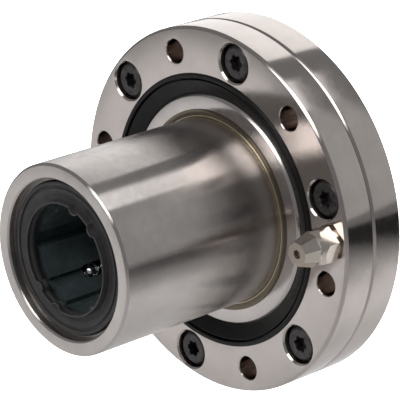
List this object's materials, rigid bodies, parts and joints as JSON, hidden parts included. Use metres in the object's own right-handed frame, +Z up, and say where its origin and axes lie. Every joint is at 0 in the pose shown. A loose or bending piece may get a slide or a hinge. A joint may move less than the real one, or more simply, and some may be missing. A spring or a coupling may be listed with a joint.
{
  "type": "torque-resistant linear bushing",
  "caption": "Linear bushing that carries torque through ball rows in its bore, with its steel sleeve turning in a round bolted crossed roller bearing flange with a grease nipple.",
  "frame": {"origin": "centre of the flange's rear mounting face, on the axis of rotation", "axes": "+Y along the axis of rotation, out of the rear mounting face; the nose of the sleeve points to -Y; +Z up as pictured; angles are counted from +X towards +Z"},
  "size_m": [0.069, 0.05, 0.069],
  "materials": {
    "ring_steel": "satin",
    "sleeve_steel": "satin",
    "inner_ring_steel": "satin",
    "black_oxide": "satin",
    "seal_rubber": "satin",
    "wiper_rubber": "matte",
    "nipple_plating": "satin",
    "spring_steel": "satin",
    "retaining_compound": "gloss",
    "retainer_resin": "gloss",
    "plate_steel": "satin",
    "ball_steel": "polished",
    "cage_brass": "satin"
  },
  "bodies": {
    "flange": {"front_outer_ring": "ring_steel", "rear_outer_ring": "ring_steel", "torx_screws": "black_oxide", "front_bearing_seal": "seal_rubber", "rear_bearing_seal": "seal_rubber", "grease_nipple": "nipple_plating", "nipple_spring": "spring_steel"},
    "sleeve": {"sleeve": "sleeve_steel", "bearing_inner_ring": "inner_ring_steel", "front_bonding_bead": "retaining_compound", "rear_bonding_bead": "retaining_compound", "ball_retainer": "retainer_resin", "load_plate_1": "plate_steel", "load_plate_2": "plate_steel", "load_plate_3": "plate_steel", "load_plate_4": "plate_steel", "ball_circuit_1": "ball_steel", "ball_circuit_2": "ball_steel", "ball_circuit_3": "ball_steel", "ball_circuit_4": "ball_steel", "nose_wiper_seal": "wiper_rubber", "rear_wiper_seal": "wiper_rubber", "nose_snap_ring": "spring_steel", "rear_snap_ring": "spring_steel"},
    "rollers": {"rollers_facing_nose": "ball_steel", "rollers_facing_rear": "ball_steel", "roller_cage": "cage_brass"},
    "check_ball": {"nipple_check_ball": "ball_steel"}
  },
  "joints": [
    {"name": "sleeve_spin", "type": "hinge", "parent": "flange", "child": "sleeve", "pos_m": [0, -0.007, 0], "axis": [0, 1, 0], "continuous": true},
    {"name": "cage_spin", "type": "hinge", "parent": "flange", "child": "rollers", "pos_m": [0, -0.007, 0], "axis": [0, 1, 0], "continuous": true},
    {"name": "check_ball_push", "type": "slide", "parent": "flange", "child": "check_ball", "axis": [0, 1, 0], "range_m": [0, 0.0006], "stiffness_N_per_m": 500, "springref_m": -0.0006, "deforming": ["nipple_spring"]}
  ],
  "couplings": [
    {"joint": "cage_spin", "follows": "sleeve_spin", "ratio": 0.4683}
  ]
}
